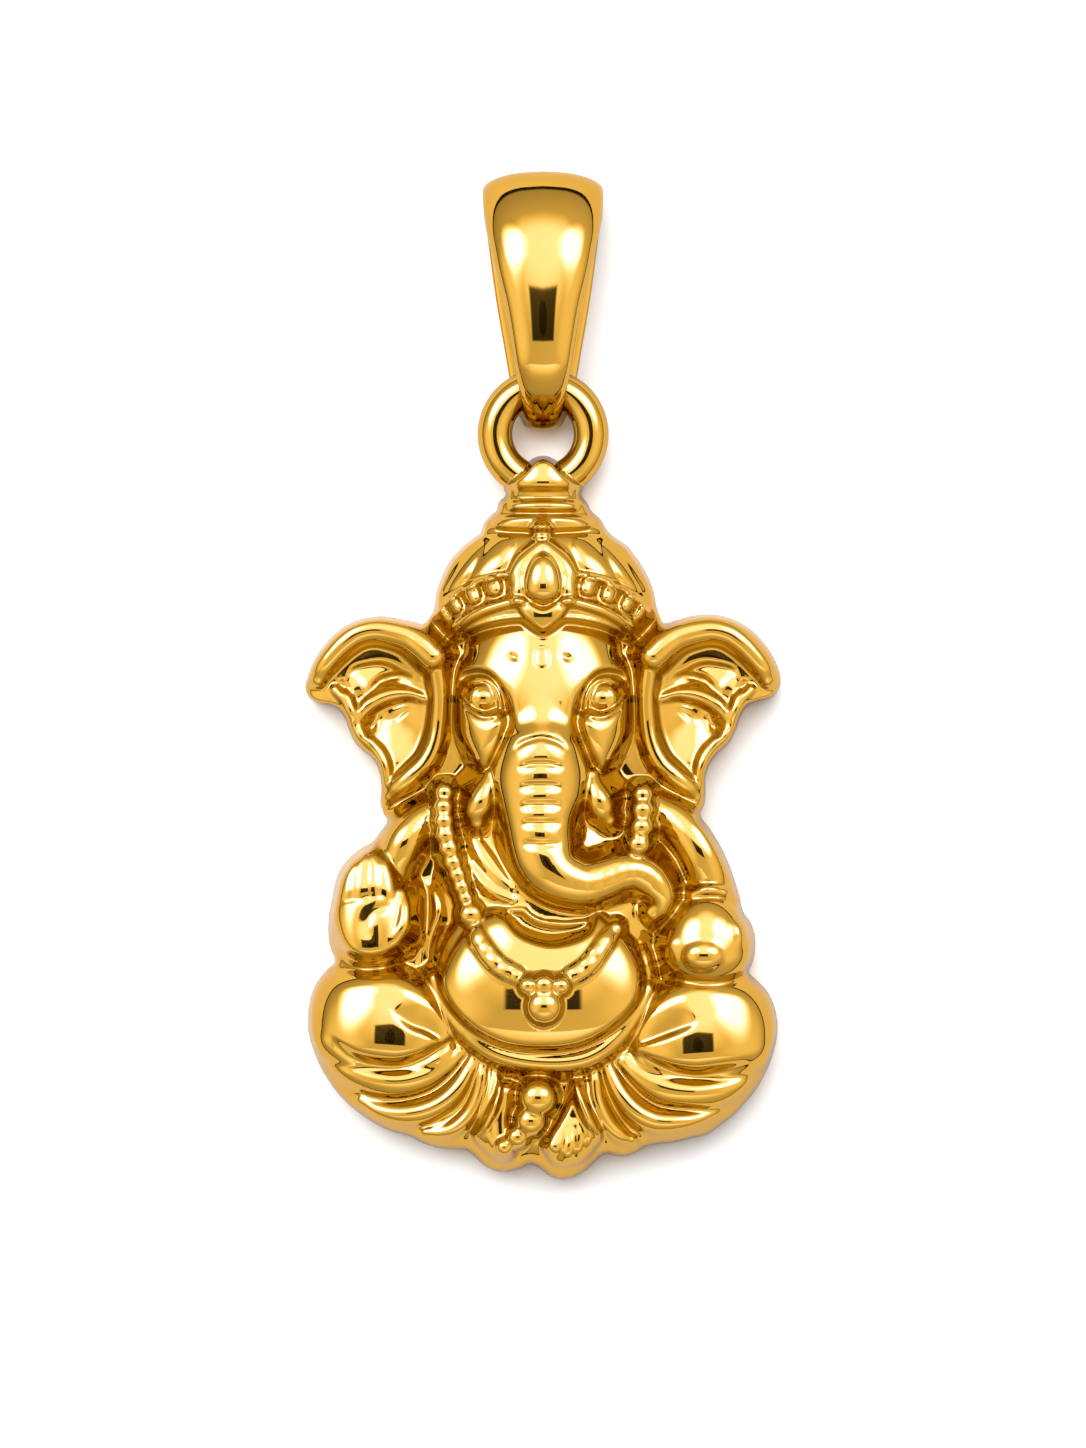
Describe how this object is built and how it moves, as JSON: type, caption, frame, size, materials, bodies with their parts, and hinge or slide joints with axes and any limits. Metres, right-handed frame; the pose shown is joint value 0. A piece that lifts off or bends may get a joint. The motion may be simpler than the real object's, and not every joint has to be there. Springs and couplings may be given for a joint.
{
  "type": "ganesha pendant",
  "caption": "Cast relief pendant of a seated Ganesha with a soldered hanging ring and a tapered bail for a chain.",
  "frame": {"origin": "on the surface the pendant lies on, under the middle of its whole box", "axes": "+X to the right of the front, +Y up the figure towards the bail, +Z out of the front"},
  "size_m": [0.0236, 0.0498, 0.0073],
  "materials": {
    "gold": "polished gold plate on cast brass"
  },
  "bodies": {
    "root": {"figure": "gold", "bail": "gold"}
  },
  "joints": []
}
